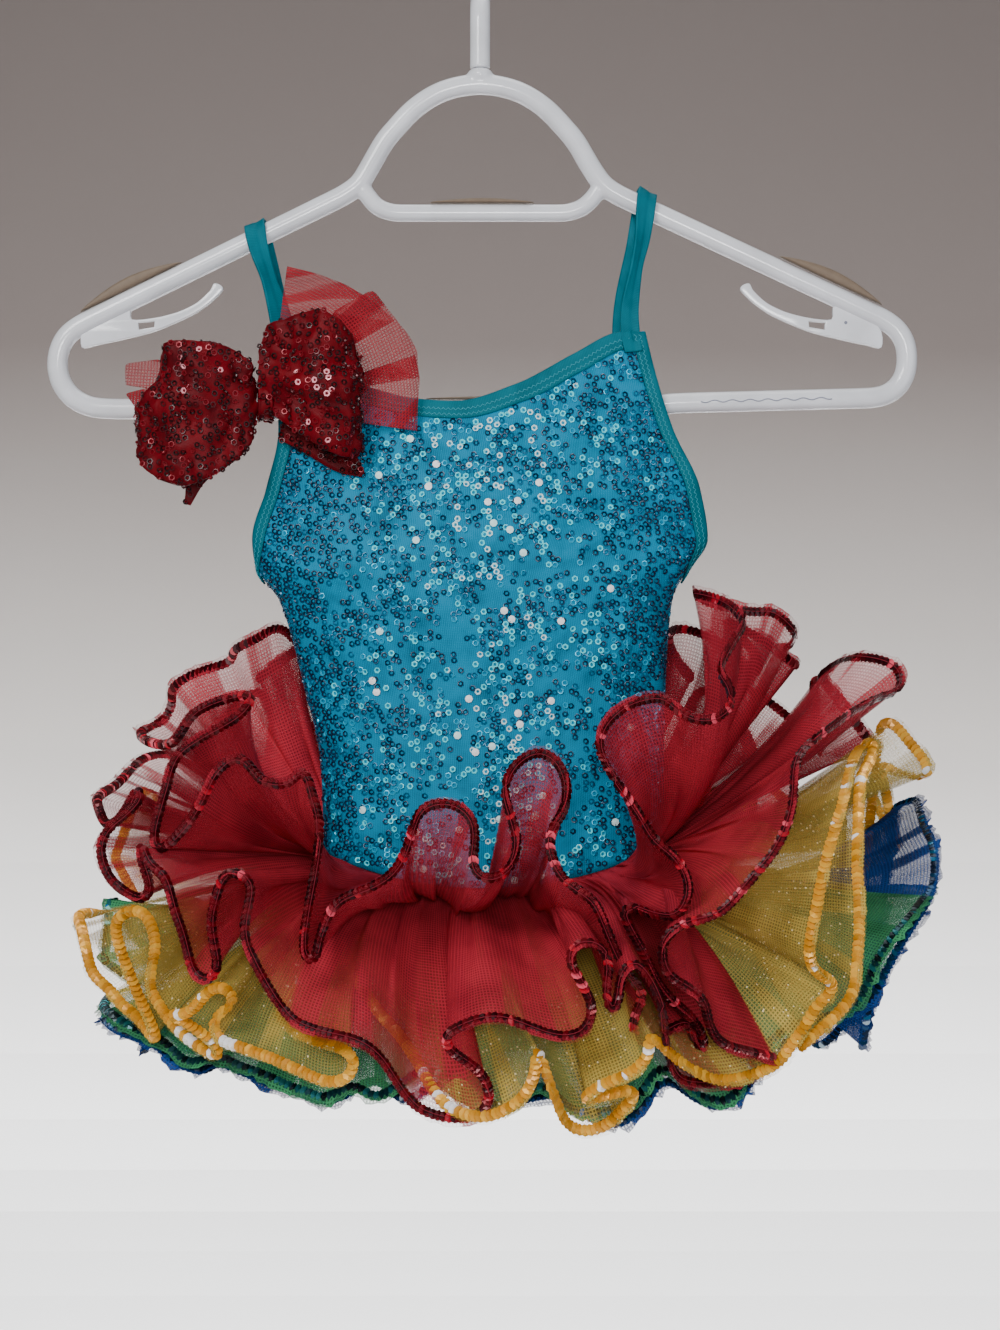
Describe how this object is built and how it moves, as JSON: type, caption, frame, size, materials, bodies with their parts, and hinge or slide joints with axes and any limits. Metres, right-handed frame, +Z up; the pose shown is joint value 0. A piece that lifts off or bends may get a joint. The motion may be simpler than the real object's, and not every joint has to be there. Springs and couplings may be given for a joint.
{
  "type": "tutu costume on clothes hanger",
  "caption": "Child's sleeveless tutu leotard with a sequinned bodice, gathered organza ruffles and a bow, hanging by its straps on a round-tube plastic hanger.",
  "frame": {"origin": "inside top of the hanger's hook, where it rests on a rail", "axes": "+Z up, the costume's front faces -Y, +X to the right as seen from the front"},
  "size_m": [0.4355, 0.3298, 0.591],
  "materials": {
    "sequinned_knit": "stretch knit covered in small cup sequins",
    "stretch_knit": "plain smooth stretch knit",
    "red_organza": "sheer crisp organza",
    "gold_organza": "sheer glitter organza",
    "green_net": "soft net",
    "blue_net": "soft net",
    "red_sequinned_fabric": "sequinned satin",
    "red_net": "stiff net",
    "white_plastic": "glossy",
    "tan_rubber": "matt"
  },
  "bodies": {
    "root": {"bodice_front": "sequinned_knit", "bodice_back": "sequinned_knit", "brief_front": "stretch_knit", "brief_back": "stretch_knit", "neck_binding_front": "stretch_knit", "neck_binding_back": "stretch_knit", "armhole_binding_left": "stretch_knit", "armhole_binding_right": "stretch_knit", "leg_binding_left": "stretch_knit", "leg_binding_right": "stretch_knit", "strap_left": "stretch_knit", "strap_right": "stretch_knit", "ruffle_red_upper": "red_organza", "ruffle_red_lower": "red_organza", "ruffle_yellow": "gold_organza", "ruffle_green": "green_net", "ruffle_blue": "blue_net", "bow_loop_left": "red_sequinned_fabric", "bow_loop_right": "red_sequinned_fabric", "bow_knot": "red_sequinned_fabric", "bow_tail_left": "red_sequinned_fabric", "bow_tail_right": "red_sequinned_fabric", "bow_net_fan": "red_net", "bow_net_scrap": "red_net", "hanger_frame": "white_plastic", "hook": "white_plastic", "grip_left": "tan_rubber", "grip_right": "tan_rubber", "grip_handle": "tan_rubber", "grip_bar": "tan_rubber"}
  },
  "joints": []
}
